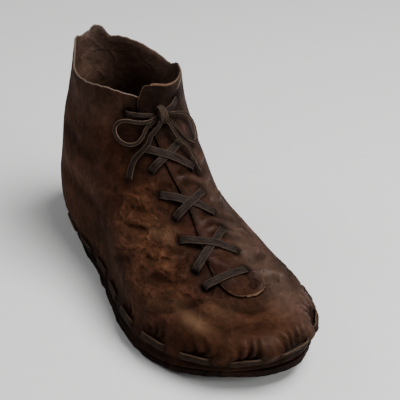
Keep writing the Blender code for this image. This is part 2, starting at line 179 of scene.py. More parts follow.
def shoe_outward(angle, level):
    angle, level = np.broadcast_arrays(np.asarray(angle, float), np.asarray(level, float))
    across = shoe_surface(angle + 0.5, level) - shoe_surface(angle - 0.5, level)
    up = shoe_surface(angle, level + 0.05) - shoe_surface(angle, np.maximum(level - 0.05, 0.0))
    return unit(np.cross(across, up))


def over_shoe(angle, level, height):
    return shoe_surface(angle, level) + shoe_outward(angle, level) * np.asarray(height, float)[..., None]


def collar_cut(angle):
    """Level of the hand-cut collar edge."""
    ring_step = (shoe_rings["collar"][1] - shoe_rings["ankle"][1]) * collar_high / 100.0
    return top_ring + row_curve(collar_wave, wrap(angle)) / ring_step


# The flap's outline is needed here, because the lace holes lie on both sides of it
flap_columns = ("level", "free_edge", "inner_edge", "free_lift")
flap_outline = (
    (3.780, 27.0, 31.0), (3.850, 24.0, 33.0), (3.900, 21.0, 34.5), (3.940, 17.0, 35.0), (3.965, 12.0, 35.5),
    (3.980, 6.0, 36.0), (3.990, 0.0, 36.0), (4.005, -4.5, 36.2), (4.040, -8.3, 36.5), (4.090, -10.5, 36.8),
    (4.170, -12.2, 37.0), (4.300, -13.5, 37.0), (4.450, -13.6, 37.0), (4.700, -12.4, 37.5),
    (5.000, -10.0, 38.0), (5.500, -7.0, 40.0), (6.250, -9.0, 40.0), (7.000, -11.0, 42.0),
    (7.450, -18.0, 44.0), (7.700, -17.0, 45.0), (7.860, -14.0, 46.0), (7.990, -11.0, 46.0),
)
tip_lifts = (-0.8, 0.4, 1.2)
flap_rows = [(*row, tip_lifts[k] if k < len(tip_lifts) else flap_thick) for k, row in enumerate(flap_outline)]
flap_root = -1.0


def flap_at(column, level):
    return row_curve(flap_rows, level, flap_columns.index(column))


def flap_height(angle, level):
    """How far the flap stands over the upper's own wall, from its free edge to where it sinks in."""
    free_edge = flap_at("free_edge", level)
    free_lift = flap_at("free_lift", level)
    across = (angle - free_edge) / (flap_at("inner_edge", level) - free_edge)
    return free_lift + (flap_root - free_lift) * ease(across)


# Lace holes: the bar's two, four for each crossing, and the two at the top
hole_out = -22.0
hole_in = 13.5
bar_holes = ((hole_out, 4.24), (10.0, 4.38))
cross_holes = {
    "lace_cross_1": (((hole_out, 4.52), (hole_in, 5.02)), ((hole_out, 5.00), (hole_in, 4.66)), False),
    "lace_cross_2": (((-18.5, 5.39), (12.0, 5.69)), ((hole_out, 5.78), (hole_in, 5.32)), True),
    "lace_cross_3": (((hole_out, 6.22), (hole_in, 6.62)), ((hole_out, 6.62), (hole_in, 6.12)), False),
}
top_holes = ((-27.5, 7.39), (21.0, 7.42))
knot_at = (-2.0, 7.25)
lace_lines = [bar_holes, (top_holes[0], knot_at), (top_holes[1], knot_at)]
for rising, falling, rising_on_top in cross_holes.values():
    lace_lines += [rising, falling]
lace_holes = [hole for line in lace_lines for hole in line if hole != knot_at]

# Routes of the bow's loops and ends, which have painted shade under them: angle, level, height over the upper
bow_routes = {
    "lace_loop_outer": (
        (-13, 7.14, 5.6), (-21, 7.16, 5.0), (-29, 7.22, 4.6), (-35, 7.18, 4.4), (-39, 7.05, 4.4),
        (-40, 6.89, 4.4), (-38, 6.75, 4.4), (-32, 6.68, 4.4), (-25, 6.72, 4.2), (-20, 6.83, 4.2),
        (-15, 7.00, 4.4)),
    "lace_loop_inner": (
        (9, 7.20, 5.6), (16, 7.14, 5.0), (23, 7.04, 4.4), (29, 6.91, 4.0), (33, 6.73, 3.8), (32, 6.58, 3.8),
        (29, 6.48, 4.0), (23, 6.46, 4.4), (17, 6.57, 4.8), (12, 6.75, 5.0), (7, 6.96, 5.2)),
    "lace_end_outer": (
        (-7, 7.00, 9.6), (-11, 6.90, 9.2), (-15, 6.80, 8.6), (-18, 6.68, 7.8), (-24, 6.55, 6.6),
        (-31, 6.41, 5.2), (-37, 6.21, 4.2), (-42, 5.98, 3.4)),
    "lace_end_inner": (
        (1, 6.98, 8.6), (3, 6.83, 8.0), (5, 6.68, 7.4), (9, 6.55, 6.6), (13, 6.41, 5.8), (15, 6.24, 5.0),
        (17, 6.08, 4.4), (18, 5.97, 4.0)),
}

# Creases and ridges pressed into the hide: marks as (angle, level), height over the wall, half width
hide_creases = (
    (((-61, 2.40), (-52, 3.05), (-42, 3.55), (-31, 3.90), (-22, 4.05)), -1.8, 2.2),
    (((-64, 2.30), (-52, 2.80), (-40, 3.25)), 0.8, 5.0),
    (((-62, 2.75), (-54, 3.25), (-46, 3.62), (-37, 3.90)), 1.5, 2.0),
    (((-58, 3.40), (-50, 3.72), (-39, 4.02), (-31, 4.10)), 1.3, 1.8),
    (((-60, 3.80), (-52, 4.10), (-45, 4.34)), 1.3, 2.0),
    (((-45, 4.34), (-38, 4.40), (-30, 4.34)), 1.3, 2.2),
    (((-55, 4.02), (-46, 4.12), (-36, 4.16)), -1.2, 2.2),
    (((-40, 4.05), (-31, 4.22), (-24, 4.16)), 1.2, 1.8),
    (((-53, 4.38), (-48, 4.44), (-43, 4.50)), -1.2, 1.8),
    (((-42, 4.63), (-33, 4.65), (-24, 4.75)), 1.1, 1.6),
    (((-34, 4.85), (-30, 4.81), (-25, 4.76)), -1.2, 1.6),
    (((-60, 4.62), (-48, 4.80), (-36, 4.96)), 1.0, 2.0),
    (((-64, 4.77), (-50, 4.94), (-38, 5.10), (-26, 5.25)), -1.5, 1.8),
    (((-60, 4.94), (-46, 5.20), (-30, 5.34)), 1.1, 2.4),
    (((-54, 5.28), (-46, 5.37), (-38, 5.48)), -1.2, 2.0),
    (((-56, 5.46), (-46, 5.58), (-34, 5.64)), 0.9, 2.2),
    (((-44, 5.72), (-32, 5.90), (-23, 5.98)), 1.1, 1.8),
    (((-23, 5.94), (-16, 5.95), (-11, 5.91)), -1.1, 1.6),
    (((-46, 6.10), (-36, 6.20), (-26, 6.18)), -0.9, 2.0),
    (((-83, 3.40), (-72, 4.08), (-65, 4.44)), 1.2, 3.0),
    (((-86, 2.85), (-73, 3.60), (-64, 4.04)), -1.1, 2.6),
    (((-23, 4.14), (-27, 3.90), (-30, 3.70)), 0.8, 1.8),
    (((-21, 4.10), (-20, 3.88), (-18, 3.68)), -0.8, 1.8),
    (((-17, 3.86), (-8, 3.72), (4, 3.66)), -0.9, 2.6),
    (((10, 4.38), (17, 4.23), (20, 4.10), (16, 4.03), (8, 4.05)), 2.6, 1.8),
    (((8, 4.29), (11, 4.17), (7, 4.12), (2, 4.12)), -2.2, 2.0),
    (((21, 4.18), (29, 4.06), (35, 3.78), (39, 3.51), (46, 3.20)), 1.7, 2.0),
    (((22, 4.02), (29, 3.82), (34, 3.58)), -1.6, 2.0),
    (((18, 4.44), (34, 4.18), (50, 3.76)), -1.8, 2.0),
    (((14, 4.66), (30, 4.40), (48, 3.98)), 1.6, 1.9),
    (((-4, 4.98), (6, 5.00), (16, 4.86), (26, 4.70), (40, 4.38)), -1.7, 1.9),
    (((-4, 5.11), (7, 5.12), (15, 5.00), (23, 4.82), (39, 4.54)), 1.7, 1.4),
    (((-4, 5.17), (6, 5.18), (14, 5.07), (21, 4.93), (33, 4.70), (45, 4.40)), -1.5, 1.1),
    (((-7, 5.19), (0, 5.26), (10, 5.23), (18, 5.07), (25, 4.88), (42, 4.53), (54, 4.05)), 1.9, 1.6),
    (((-4, 5.36), (8, 5.36), (18, 5.22), (30, 5.00), (46, 4.64)), -1.4, 1.8),
    (((16, 5.52), (30, 5.36), (48, 5.20)), 1.5, 2.0),
    (((-6, 5.91), (2, 5.92), (10, 5.84), (24, 5.66)), -1.2, 1.5),
    (((-7, 6.02), (0, 6.02), (7, 5.97), (13, 5.87), (24, 5.78), (40, 5.72)), 1.6, 1.6),
    (((-5, 6.13), (3, 6.13), (11, 6.06), (20, 5.94), (36, 5.88)), -1.5, 1.6),
    (((14, 6.26), (28, 6.10), (44, 6.08)), 1.4, 2.0),
    (((30, 3.30), (46, 3.05), (60, 2.80)), -0.9, 4.0),
    (((52, 4.10), (72, 4.30), (94, 4.36)), -1.0, 5.0),
    (((56, 3.50), (80, 3.75), (104, 3.80)), 0.9, 5.0),
    (((56, 5.10), (84, 5.20), (112, 5.05)), -0.7, 4.0),
    (((60, 5.80), (92, 5.75), (124, 5.60)), 0.9, 6.0),
    (((-70, 5.90), (-100, 5.65), (-132, 5.70)), -1.0, 6.0),
    (((-74, 4.90), (-104, 4.70), (-134, 4.60)), 0.8, 6.0),
    (((-80, 3.90), (-108, 3.75), (-136, 3.70)), -0.9, 6.0),
    (((150, 4.60), (175, 4.45), (200, 4.65)), -0.8, 5.0),
    (((152, 6.30), (178, 6.20), (206, 6.40)), -0.8, 5.0),
)
crease_taper = 0.18

# Running stitches of the sole thong: their spacing is needed for the gathers that they pull into the hide
stitch_count = 20
stitch_long = 19.0
gather_wide = 4.8
thong_rise = ((-180, 1.0), (-110, 1.05), (-73, 1.2), (-56, 1.0), (-40, 0.88), (-19, 0.98), (-2, 1.5),
              (14, 1.85), (26, 1.9), (45, 1.6), (70, 1.2), (110, 1.0), (180, 1.0))


def thong_level(angle):
    """Level of the sewn line, which rises over the inner side of the toe."""
    return row_curve(thong_rise, wrap(angle))


thong_turn = np.linspace(0.0, 360.0, 721)
thong_run = run_along(shoe_surface(thong_turn, thong_level(thong_turn)))
stitch_spacing = thong_run[-1] / stitch_count


def lumps(spots, size, seed):
    """Soft noise over the hide, about -1 to 1, with lumps of one size in millimetres."""
    shift = Vector((seed * 7.3, seed * 3.1, seed * 5.7))
    return np.array([noise.noise(Vector(spot) / size + shift) for spot in spots])


def tents(spots, size, seed):
    """Sharp little ridges between flat faces, as in hide that was crumpled and pressed."""
    shift = Vector((seed * 7.3, seed * 3.1, seed * 5.7))
    gaps = []
    for spot in spots:
        near = noise.voronoi(Vector(spot) / size + shift)[0]
        gaps.append(near[1] - near[0])
    return 0.5 - np.minimum(np.array(gaps), 1.0)


def stitch_place(angle, level):
    """Distance along the thong from the nearest stitch's middle, height over the thong, and the stitch."""
    run = np.interp(np.mod(angle, 360.0), thong_turn, thong_run)
    along = ((run / stitch_spacing + 0.5) % 1.0 - 0.5) * stitch_spacing
    number = np.floor(run / stitch_spacing + 0.5)
    sewn_at = thong_level(angle)
    rise = np.linalg.norm(shoe_surface(angle, level) - shoe_surface(angle, sewn_at), axis=-1)
    return along, np.sign(level - sewn_at) * rise, number


def near_line(spots, marks, reach):
    """Spots within reach of a line of (angle, level) marks: indices, distances and shares along it."""
    marks = np.array(marks, float)
    t = np.linspace(0.0, len(marks) - 1.0, 60)
    order = np.arange(len(marks))
    line = shoe_surface(np.interp(t, order, marks[:, 0]), np.interp(t, order, marks[:, 1]))
    inside = np.all((spots > line.min(axis=0) - reach) & (spots < line.max(axis=0) + reach), axis=1)
    found = np.nonzero(inside)[0]
    away = np.linalg.norm(spots[found, None, :] - line[None, :, :], axis=-1)
    return found, away.min(axis=1), t[np.argmin(away, axis=1)] / t[-1]


def hide_relief(angle, level):
    """Height of the worn hide over the plain wall, and marks for its looks: folds, painted shade and grime,
    and crumpling.
    """
    shape = np.shape(angle)
    angle = np.ravel(angle)
    level = np.ravel(level)
    spots = shoe_surface(angle, level)
    wrapped = wrap(angle)

    # Broad waves everywhere, wrinkles where the foot bends the hide, and the listed creases
    crumpled = 0.15 + 0.75 * bell(wrapped + 38.0, 36.0) * bell(level - 4.7, 1.15)
    crumpled = crumpled + 0.15 * bell(wrapped - 15.0, 40.0)
    crumpled = crumpled + 0.45 * bell(wrapped + 57.0, 13.0) * bell(level - 3.4, 0.6)
    broad = 0.9 * lumps(spots, 46.0, 1) + 0.5 * lumps(spots, 21.0, 2)
    warp = np.stack([lumps(spots, 14.0, k) for k in (3, 4, 5)], axis=-1) * 4.0
    across = np.stack([wrapped * 0.5, level * 24.0, 0.0 * level], axis=-1)
    fine = 1.1 * tents(spots + warp, 15.0, 6) + 0.3 * tents(spots + warp, 6.0, 8)
    folds = crumpled * (fine + 0.35 * lumps(across + warp, 3.6, 7))
    for marks, high, wide in hide_creases:
        near, away, at = near_line(spots, marks, 3.0 * wide)
        taper = ease(np.minimum(at, 1.0 - at) / crease_taper)
        folds[near] += high * taper * bell(away, wide)

    # The stitches pull the hide in, with pits at their ends, puffs between them and gathers above
    along, rise, number = stitch_place(angle, level)
    above = np.maximum(rise, 0.0)
    pull = 0.40 + 0.60 * bell(wrapped - 4.0, 70.0) - 0.22 * bell(wrapped + 105.0, 40.0)
    at_toe = bell(wrapped - 5.0, 42.0)
    between = 0.5 - 0.5 * np.cos(2.0 * math.pi * along / stitch_spacing)
    fan = along / (1.0 + 0.045 * above) + 2.4 * lumps(spots, 12.0, 13)
    pinch = -1.6 * bell(along, 9.5, 4) * bell(rise, 4.6)
    pocket = -(1.8 + 1.6 * at_toe) * bell(along, 7.5) * bell(rise - 5.5, 3.2)
    pits = -1.6 * bell(np.abs(along) - stitch_long / 2, 2.0) * bell(rise, 3.0)
    puffs = 1.6 * between * bell(rise - 2.0, 8.0) + 0.8 * bell(rise - 13.0, 6.0)
    waves = np.cos(2.0 * math.pi * fan / gather_wide + 2.1 * number)
    gathers = (1.5 + 1.0 * lumps(spots, 15.0, 14)) * waves * bell(along, 9.0) * bell(rise - 8.0, 5.5)
    ragged = lumps(spots, 6.0, 10)
    lip = (0.5 + 1.0 * ragged) * bell(level - 0.18, 0.16) - (0.5 - 0.8 * ragged) * bell(level - 0.50, 0.16)
    sewn = pull * (pinch + pocket + pits + puffs + gathers) + lip

    # Grime round the stitches and along the sole, painted shade in arches over the stitches at the toe, less
    # on the gathers' ridges, and painted shade just above the thong on the outer side
    shade_and_grime = (0.85 + 0.3 * ragged) * pull * bell(rise - 2.0, 4.4 + 2.2 * at_toe) * bell(along, 11.0, 4)
    arch = bell(along, np.maximum(10.5 - 0.4 * rise, 4.0), 4) * ease((13.0 - rise) / 8.0)
    arch = at_toe * arch * ease((rise + 2.0) / 2.0) * (1.0 - 0.45 * np.clip(gathers / 1.5, 0.0, 1.0))
    shade_and_grime = np.maximum(shade_and_grime, (0.95 + 0.3 * ragged) * arch)
    shade_and_grime = np.maximum(shade_and_grime, (0.85 + 0.25 * ragged) * ease((0.95 - level) / 0.5))
    shade_and_grime = np.maximum(shade_and_grime, (0.60 + 0.30 * ragged) * bell(above, 9.0) * bell(wrapped + 100.0, 36.0))

    # Painted shade round the lace holes, under the lace and under the bow
    on_flap = ease((wrapped - flap_at("free_edge", level)) / 4.0)
    for hole_angle, hole_level in lace_holes:
        away = np.linalg.norm(spots - shoe_surface(hole_angle, hole_level), axis=-1)
        folds -= 2.0 * bell(away, 2.2) + 0.5 * bell(away, 5.0)
        shade_and_grime = np.maximum(shade_and_grime, 0.95 * bell(np.maximum(away - 2.6, 0.0), 1.9) + 0.20 * bell(away, 7.0))
    for start, end in lace_lines:
        first = shoe_surface(*start)
        run = shoe_surface(*end) - first
        share = np.clip((spots - first) @ run / (run @ run), 0.0, 1.0)
        away = np.linalg.norm(spots - first - share[:, None] * run, axis=-1)
        shade_and_grime = np.maximum(shade_and_grime, (0.85 - 0.55 * on_flap) * bell(np.maximum(away - 2.4, 0.0), 2.4))
    for route in bow_routes.values():
        near, away, at = near_line(spots, [row[:2] for row in route], 9.0)
        shade_and_grime[near] = np.maximum(shade_and_grime[near], 0.85 * bell(np.maximum(away - 1.4, 0.0), 3.4))

    # The deepest hollows are made shallower, so that they don't reach through the hide
    height = (broad + folds + sewn) * ease(level / 0.30)
    height = np.maximum(height, 0.25 * height - 1.7)
    # The colour's folds: lighter on ridges, the lip, puffs and gathers and darker in hollows and just above
    # the stitches, as painted shading
    folds = folds * (1.0 + 0.5 * on_flap) + lip
    folds = folds + pull * (0.6 * puffs + 1.3 * gathers - 0.5 * bell(rise - 4.0, 7.0))
    folds = np.clip(folds / 1.4, -1.0, 1.0)
    return [values.reshape(shape) for values in (height, folds, np.clip(shade_and_grime, 0.0, 1.0), crumpled)]


def grid_piece(name, places, marks):
    """A grid primitive with its points set row by row, and values marked on them."""
    rows, columns = places.shape[:2]
    bpy.ops.mesh.primitive_grid_add(x_subdivisions=columns - 1, y_subdivisions=rows - 1, size=1.0)
    piece = bpy.context.object
    piece.name = name
    piece.data.name = name
    piece.data.vertices.foreach_set("co", (places.reshape(-1, 3) * MM).ravel())
    for mark, values in marks.items():
        layer = piece.data.attributes.new(mark, "FLOAT", "POINT")
        layer.data.foreach_set("value", np.ravel(values).astype(np.float32))
    return piece


def close_piece(piece, merge=0.00002):
    """Joins the grid's edges where they meet, and turns its faces outward."""
    bpy.context.view_layer.objects.active = piece
    bpy.ops.object.mode_set(mode="EDIT")
    bpy.ops.mesh.select_all(action="SELECT")
    bpy.ops.mesh.remove_doubles(threshold=merge)
    bpy.ops.mesh.normals_make_consistent(inside=False)
    bpy.ops.object.mode_set(mode="OBJECT")
    bpy.ops.object.shade_smooth()


def face_rows(piece, columns):
    """Row of the grid that each face belongs to, before doubles are merged."""
    corners = np.empty(len(piece.data.polygons) * 4, np.int32)
    piece.data.polygons.foreach_get("vertices", corners)
    return corners.reshape(-1, 4).min(axis=1) // columns


def new_group(name, inputs, outputs):
    group = bpy.data.node_groups.new(name, "ShaderNodeTree")
    for label, kind, value in inputs:
        socket = group.interface.new_socket(label, in_out="INPUT", socket_type=kind)
        socket.default_value = value
    for label, kind in outputs:
        group.interface.new_socket(label, in_out="OUTPUT", socket_type=kind)
    return group, group.nodes.new("NodeGroupInput"), group.nodes.new("NodeGroupOutput")


def fill_inputs(tree, node, links):
    """Joins a node's inputs to other nodes' outputs, or sets them to values."""
    for key, value in links.items():
        if isinstance(value, bpy.types.NodeSocket):
            tree.links.new(value, node.inputs[key])
        else:
            node.inputs[key].default_value = value


def add_node(tree, kind, links=None, **settings):
    node = tree.nodes.new(kind)
    for key, value in settings.items():
        setattr(node, key, value)
    fill_inputs(tree, node, links or {})
    return node


def mix_colour(tree, how, factor, a, b):
    """Mixed colour; of the mix node's inputs, 6 and 7 are its colours, and its output 2 is the result."""
    node = add_node(tree, "ShaderNodeMix", data_type="RGBA", blend_type=how, clamp_factor=True)
    fill_inputs(tree, node, {0: factor, 6: a, 7: b})
    return node.outputs[2]


def calc(tree, how, a, b):
    return add_node(tree, "ShaderNodeMath", {0: a, 1: b}, operation=how).outputs[0]


def spread(tree, value, low, high, to_low=0.0, to_high=1.0):
    links = {"Value": value, "From Min": low, "From Max": high, "To Min": to_low, "To Max": to_high}
    return add_node(tree, "ShaderNodeMapRange", links, interpolation_type="SMOOTHSTEP").outputs["Result"]


def object_place(tree):
    return add_node(tree, "ShaderNodeTexCoord").outputs["Object"]


def mottle(tree, scale, detail, roughness=0.5, distortion=0.0, where=None, output="Fac"):
    """Soft noise over the object, unless another place is given."""
    links = {"Vector": object_place(tree) if where is None else where, "Scale": scale, "Detail": detail,
             "Roughness": roughness, "Distortion": distortion}
    return add_node(tree, "ShaderNodeTexNoise", links).outputs[output]


def cells(tree, where, scale, feature):
    links = {"Vector": where, "Scale": scale, "Randomness": 1.0}
    return add_node(tree, "ShaderNodeTexVoronoi", links, feature=feature).outputs["Distance"]


def point_value(tree, name):
    """A value marked on the mesh's points."""
    return add_node(tree, "ShaderNodeAttribute", attribute_name=name).outputs["Fac"]


def bumps(tree, height, strength, distance=1.0):
    links = {"Height": height, "Strength": strength, "Distance": distance}
    return add_node(tree, "ShaderNodeBump", links).outputs["Normal"]


# Shared effect: mottled tone of the hide, in patches of four colours
tone_names = ("Dark", "Middle", "Warm", "Red")
hide_tone, tone_in, tone_out = new_group(
    "hide tone", [(name, "NodeSocketColor", (0.05, 0.025, 0.015, 1)) for name in tone_names],
    [("Color", "NodeSocketColor")])
tone = tone_in.outputs["Dark"]
for name, lay, (low, high, most) in (
        ("Middle", (22.0, 5.0, 0.55, 0.7), (0.34, 0.62, 1.0)),
        ("Warm", (41.0, 4.0, 0.6, 0.9), (0.46, 0.72, 0.85)),
        ("Red", (67.0, 3.0, 0.5, 0.4), (0.52, 0.74, 0.6))):
    patch = spread(hide_tone, mottle(hide_tone, *lay), low, high, 0.0, most)
    tone = mix_colour(hide_tone, "MIX", patch, tone, tone_in.outputs[name])
# The wrinkle overlay follows the same noise as the grain's wrinkle bumps: painted light on their crests and
# painted shade in their dips
wrinkle = mottle(hide_tone, 165.0, 4.0, 0.6, 0.8)
tone = mix_colour(hide_tone, "OVERLAY", 0.24, tone, spread(hide_tone, wrinkle, 0.30, 0.70))
tone = mix_colour(hide_tone, "OVERLAY", 0.25, tone, mottle(hide_tone, 420.0, 3.0, 0.65))
hide_tone.links.new(tone, tone_out.inputs["Color"])

# Shared effect: height of the hide's grain in metres, of wrinkles, pebbles and pores, and its crease lines
hide_grain, grain_in, grain_out = new_group(
    "hide grain", [("Wrinkle", "NodeSocketFloat", 1.0), ("Pebble", "NodeSocketFloat", 1.0)],
    [("Height", "NodeSocketFloat"), ("Crease", "NodeSocketFloat")])
where = object_place(hide_grain)
swirl = {0: mottle(hide_grain, 75.0, 3.0, output="Color"), 1: (0.024, 0.024, 0.024), 2: where}
swirl = add_node(hide_grain, "ShaderNodeVectorMath", swirl, operation="MULTIPLY_ADD").outputs["Vector"]
crease = spread(hide_grain, cells(hide_grain, swirl, 58.0, "DISTANCE_TO_EDGE"), 0.0, 0.20, 1.0, 0.0)
hide_grain.links.new(crease, grain_out.inputs["Crease"])
bent = calc(hide_grain, "MULTIPLY", mottle(hide_grain, 165.0, 4.0, 0.6, 0.8), 0.0008)
height = calc(hide_grain, "ADD", bent, calc(hide_grain, "MULTIPLY", crease, 0.0012))
height = calc(hide_grain, "MULTIPLY", height, grain_in.outputs["Wrinkle"])
pebble = calc(hide_grain, "MULTIPLY", cells(hide_grain, where, 750.0, "F1"), -0.00022)
height = calc(hide_grain, "ADD", height, calc(hide_grain, "MULTIPLY", pebble, grain_in.outputs["Pebble"]))
pores = calc(hide_grain, "MULTIPLY", mottle(hide_grain, 900.0, 3.0), 0.00012)
hide_grain.links.new(calc(hide_grain, "ADD", height, pores), grain_out.inputs["Height"])


def new_material(name):
    material = bpy.data.materials.new(name)
    material.use_nodes = True
    return material, material.node_tree, material.node_tree.nodes["Principled BSDF"]


def srgb(red, green, blue):
    """Colour from 0 to 255 steps of a screen."""
    return tuple(((c / 255.0 + 0.055) / 1.055) ** 2.4 if c > 10 else c / 255.0 / 12.92
                 for c in (red, green, blue)) + (1.0,)


def toned(tree, *colours):
    """The mottled tone in a material's own four colours."""
    links = {name: srgb(*colour) for name, colour in zip(tone_names, colours)}
    return add_node(tree, "ShaderNodeGroup", links, node_tree=hide_tone).outputs["Color"]


def cut_edge(name, dark, pale, specular, rough):
    """Fibres of a cut edge, dull and paler than the hide's face."""
    material, tree, shader = new_material(name)
    fibre = mottle(tree, 500.0, 4.0)
    fill_inputs(tree, shader, {"Base Color": mix_colour(tree, "MIX", fibre, srgb(*dark), srgb(*pale)),
                               "Roughness": 0.8, "Specular IOR Level": specular})
    if rough > 0.0:
        fill_inputs(tree, shader, {"Normal": bumps(tree, fibre, rough, 0.0006)})
    return material


hide_outside, tree, shader = new_material("hide_outside")
fold, shade_and_grime, painted_light, worn, warmth, crumple, shine = (
    point_value(tree, name) for name in ("fold", "shade_and_grime", "painted_light", "worn", "warmth", "crumple", "shine"))
grain = add_node(tree, "ShaderNodeGroup", node_tree=hide_grain)
# The fold mark makes the colour lighter on ridges and darker in hollows, as painted shading; the light mark
# is painted light and shade over the parts
rubbed_and_lit = spread(tree, fold, -0.9, 0.9, 0.70, 1.62)
colour = toned(tree, (64, 37, 23), (82, 47, 29), (100, 62, 38), (94, 51, 37))
colour = mix_colour(tree, "MULTIPLY", 1.0, colour, calc(tree, "MULTIPLY", painted_light, rubbed_and_lit))
colour = mix_colour(tree, "MIX", worn, colour, srgb(88, 62, 43))
colour = add_node(tree, "ShaderNodeHueSaturation", {"Color": colour, "Saturation": warmth}).outputs["Color"]
# Mixed towards near black: painted shade round the holes, under the lace and bow and over the toe stitches,
# and grime round the stitches and along the sole
colour = mix_colour(tree, "MIX", calc(tree, "MULTIPLY", shade_and_grime, 0.75), colour, srgb(14, 8, 5))
lit_crease = spread(tree, grain.outputs["Crease"], 0.0, 1.0, 0.93, 1.50)
colour = mix_colour(tree, "MULTIPLY", crumple, colour, lit_crease)
fill_inputs(tree, grain, {"Wrinkle": spread(tree, crumple, 0.1, 0.9, 0.25, 1.0)})
gloss = calc(tree, "SUBTRACT", spread(tree, fold, -0.6, 0.8, 0.90, 0.74), calc(tree, "MULTIPLY", shine, 0.26))
coat = calc(tree, "MULTIPLY", shine, spread(tree, fold, 0.0, 0.9, 0.0, 0.14))
fill_inputs(tree, shader, {
    "Base Color": colour, "Normal": bumps(tree, grain.outputs["Height"], 0.8), "Roughness": gloss,
    "Specular IOR Level": 0.03, "Coat Weight": coat, "Coat Roughness": 0.42})

hide_cut = cut_edge("hide_cut_edge", (62, 47, 39), (108, 86, 71), 0.5, 0.5)

hide_flesh, tree, shader = new_material("hide_flesh_side")
grain = add_node(tree, "ShaderNodeGroup", node_tree=hide_grain)
fill_inputs(tree, grain, {"Wrinkle": 0.25, "Pebble": 0.5})
fill_inputs(tree, shader, {
    "Base Color": toned(tree, (58, 41, 33), (78, 56, 45), (90, 66, 53), (82, 55, 46)),
    "Normal": bumps(tree, grain.outputs["Height"], 0.7), "Roughness": 0.5, "Specular IOR Level": 0.5})


# Patches of painted light and shade, and places worn to a pale tan: angle, level, half widths, amount
painted_light_patches = (
    (-50, 3.80, 18, 0.60, -0.08), (-44, 4.65, 16, 0.50, 0.10), (-60, 7.30, 40, 0.70, 0.10),
    (-21, 3.75, 14, 0.35, 0.08), (14, 3.20, 18, 0.55, 0.12), (32, 3.50, 20, 0.60, 0.06),
    (38, 4.30, 16, 0.60, 0.04), (-30, 5.06, 14, 0.25, 0.12), (70, 3.60, 30, 0.90, 0.04),
)
worn_patches = (
    (-38, 3.22, 6, 0.36, 0.95), (-21, 3.75, 8, 0.24, 0.30), (11, 3.45, 11, 0.36, 0.40),
    (32, 3.60, 22, 0.60, 0.35), (28, 4.50, 14, 0.50, 0.35), (-32, 5.07, 10, 0.15, 0.55),
    (-52, 3.10, 10, 0.40, 0.15), (-2, 2.60, 20, 0.40, 0.20), (24, 5.60, 14, 0.60, 0.15),
    (75, 4.20, 30, 0.90, 0.15),
)


def painted_hide_light(angle, level):
    """Painted light and shade: darker along the lace, painted shade under the collar's front and low on the
    outer side, lighter over the flap, and patches of painted light and shade where the hide bends.
    """
    wrapped = wrap(angle)
    not_heel = ease((180.0 - np.abs(wrapped)) / 45.0)
    painted_light = 0.36 - 0.10 * bell(wrapped + 8.0, 62.0) + 0.09 * ease((-wrapped - 55.0) / 40.0) * not_heel
    for at_angle, at_level, wide, tall, gain in painted_light_patches:
        painted_light = painted_light + gain * bell(wrapped - at_angle, wide) * bell(level - at_level, tall)
    along_lace = bell(wrapped + 4.0, 20.0) * ease((level - 3.95) / 0.35)
    by_collar = bell(wrapped - 2.0, 40.0) * ease((level - 6.9) / 0.7)
    low = not_heel * ease((-wrapped - 45.0) / 30.0) * ease((2.2 - level) / 1.8)
    on_flap = ease((wrapped - flap_at("free_edge", level)) / 4.0)
    on_flap = on_flap * bell(np.maximum(wrapped - 20.0, 0.0), 20.0)
    painted_light = painted_light + 0.07 * on_flap * bell(level - 5.0, 1.0)
    return painted_light * (1.0 - 0.30 * along_lace) * (1.0 - 0.66 * by_collar) * (1.0 - 0.60 * low)


def hide_worn(angle, level):
    """Where wear has rubbed the hide to a pale tan."""
    wrapped = wrap(angle)
    worn = np.zeros(np.shape(wrapped))
    for at_angle, at_level, wide, tall, gain in worn_patches:
        worn = np.maximum(worn, gain * bell(wrapped - at_angle, wide) * bell(level - at_level, tall))
    return worn


def hide_warmth(angle, level):
    """Saturation of the hide's brown: full over the toe and vamp, faded to a greyer brown on both sides; the
    grey over the inner side is a painted sheen.
    """
    wrapped = wrap(angle)
    not_heel = ease((180.0 - np.abs(wrapped)) / 45.0)
    outer = ease((-wrapped - 40.0) / 40.0) * not_heel
    inner = ease((wrapped + 5.0) / 30.0) * ease((150.0 - wrapped) / 30.0)
    under_collar = not_heel * ease((20.0 - wrapped) / 40.0) * ease((level - 6.6) / 0.8)
    return 0.96 - 0.07 * outer - 0.22 * inner - 0.14 * under_collar


def hide_shine(angle):
    """Hide that hands and the lace have rubbed smooth, over the instep and its inner side."""
    return 0.05 + 0.95 * bell(np.maximum(np.abs(wrap(angle) - 22.0) - 18.0, 0.0), 26.0)


def hide_marks(angle, level, folds, shade_and_grime, crumpled):
    """All that the outside's material reads from the points of the mesh."""
    return {"fold": folds, "shade_and_grime": shade_and_grime, "crumple": crumpled, "painted_light": painted_hide_light(angle, level),
            "worn": hide_worn(angle, level), "warmth": hide_warmth(angle, level), "shine": hide_shine(angle)}


# Rows of points lie closest where the hide is most creased, and columns at the toe
rows_per_ring = (12, 14, 20, 34, 40, 34, 28, 24)
inside_reach = 0.30
turn = np.linspace(-1.0, 1.0, 361)
hide_angles = 180.0 * (0.62 * turn + 0.38 * turn**3)
outside_rows = [np.linspace(k, k + 1, count, endpoint=False) for k, count in enumerate(rows_per_ring)]
outside_rows = np.concatenate(outside_rows + [[top_ring]])
inside_rows = np.linspace(top_ring, 0.0, 38)
nicks = lumps(np.stack([hide_angles / 6, 0 * turn, 0 * turn], axis=-1), 1.0, 9)
hide_tops = collar_cut(hide_angles) + 0.03 * nicks
hide_tops[-1] = hide_tops[0]
all_angles = np.repeat(hide_angles[None, :], len(outside_rows), axis=0)
all_levels = outside_rows[:, None] * hide_tops[None, :] / top_ring
relief, *looks = hide_relief(all_angles, all_levels)
outside = over_shoe(all_angles, all_levels, relief)

